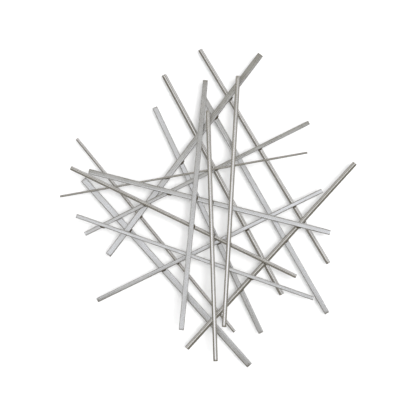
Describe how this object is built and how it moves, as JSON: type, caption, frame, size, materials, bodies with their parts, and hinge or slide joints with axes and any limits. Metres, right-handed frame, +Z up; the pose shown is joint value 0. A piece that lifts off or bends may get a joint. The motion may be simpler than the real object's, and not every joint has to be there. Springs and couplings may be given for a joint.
{
  "type": "wall sculpture",
  "caption": "Abstract wall sculpture of straight metal bars of equal length, crossed in layers and tack welded, with a hanging strap and rubber-tipped standoffs behind.",
  "frame": {"origin": "middle of the hanging strap's flat face, where it touches the wall", "axes": "+Z up the wall, +X to the viewer's right, +Y into the wall, so the sculpture stands out from the wall along -Y"},
  "size_m": [0.5972, 0.0613, 0.6432],
  "materials": {
    "polished_rod": "polished nickel plate with fine lengthwise draw lines",
    "satin_flat_bar": "satin nickel plate brushed along the bar",
    "weld_metal": "rippled tack weld, heat tinted under the plate",
    "zinc_plated_steel": "dull zinc plate",
    "bumper_rubber": "matt moulded rubber"
  },
  "bodies": {
    "root": {"hanger_strap": "zinc_plated_steel", "rising_bar_1": "satin_flat_bar", "rising_bar_2": "satin_flat_bar", "rising_bar_3": "polished_rod", "rising_bar_4": "satin_flat_bar", "shallow_bar_1": "satin_flat_bar", "shallow_bar_2": "polished_rod", "shallow_bar_3": "satin_flat_bar", "standoff_stud_lower_left": "zinc_plated_steel", "standoff_stud_right": "zinc_plated_steel", "standoff_stud_upper_left": "zinc_plated_steel", "steep_bar_1": "satin_flat_bar", "steep_bar_2": "polished_rod", "steep_bar_3": "satin_flat_bar", "steep_bar_4": "polished_rod", "steep_bar_5": "satin_flat_bar", "steep_bar_6": "polished_rod", "thin_cross_rod": "polished_rod", "upright_bar_left": "satin_flat_bar", "upright_bar_middle": "polished_rod", "upright_bar_right": "polished_rod", "wall_bumper_lower_left": "bumper_rubber", "wall_bumper_right": "bumper_rubber", "wall_bumper_upper_left": "bumper_rubber", "weld_rising_bar_1_on_steep_bar_1": "weld_metal", "weld_rising_bar_1_on_steep_bar_2": "weld_metal", "weld_rising_bar_1_on_steep_bar_3": "weld_metal", "weld_rising_bar_1_on_steep_bar_4": "weld_metal", "weld_rising_bar_1_on_steep_bar_5": "weld_metal", "weld_rising_bar_1_on_steep_bar_6": "weld_metal", "weld_rising_bar_2_on_steep_bar_1": "weld_metal", "weld_rising_bar_2_on_steep_bar_2": "weld_metal", "weld_rising_bar_2_on_steep_bar_3": "weld_metal", "weld_rising_bar_2_on_steep_bar_4": "weld_metal", "weld_rising_bar_2_on_steep_bar_5": "weld_metal", "weld_rising_bar_2_on_steep_bar_6": "weld_metal", "weld_rising_bar_3_on_steep_bar_1": "weld_metal", "weld_rising_bar_3_on_steep_bar_2": "weld_metal", "weld_rising_bar_3_on_steep_bar_3": "weld_metal", "weld_rising_bar_3_on_steep_bar_4": "weld_metal", "weld_rising_bar_3_on_steep_bar_5": "weld_metal", "weld_rising_bar_3_on_steep_bar_6": "weld_metal", "weld_rising_bar_4_on_rising_bar_1": "weld_metal", "weld_rising_bar_4_on_steep_bar_6": "weld_metal", "weld_shallow_bar_1_on_rising_bar_3": "weld_metal", "weld_shallow_bar_1_on_rising_bar_4": "weld_metal", "weld_shallow_bar_2_on_rising_bar_3": "weld_metal", "weld_shallow_bar_2_on_rising_bar_4": "weld_metal", "weld_shallow_bar_3_on_rising_bar_3": "weld_metal", "weld_shallow_bar_3_on_rising_bar_4": "weld_metal", "weld_thin_cross_rod_on_rising_bar_1": "weld_metal", "weld_thin_cross_rod_on_rising_bar_4": "weld_metal", "weld_upright_bar_left_on_shallow_bar_1": "weld_metal", "weld_upright_bar_left_on_shallow_bar_2": "weld_metal", "weld_upright_bar_middle_on_shallow_bar_1": "weld_metal", "weld_upright_bar_middle_on_shallow_bar_2": "weld_metal", "weld_upright_bar_right_on_shallow_bar_2": "weld_metal", "weld_upright_bar_right_on_thin_cross_rod": "weld_metal"}
  },
  "joints": []
}
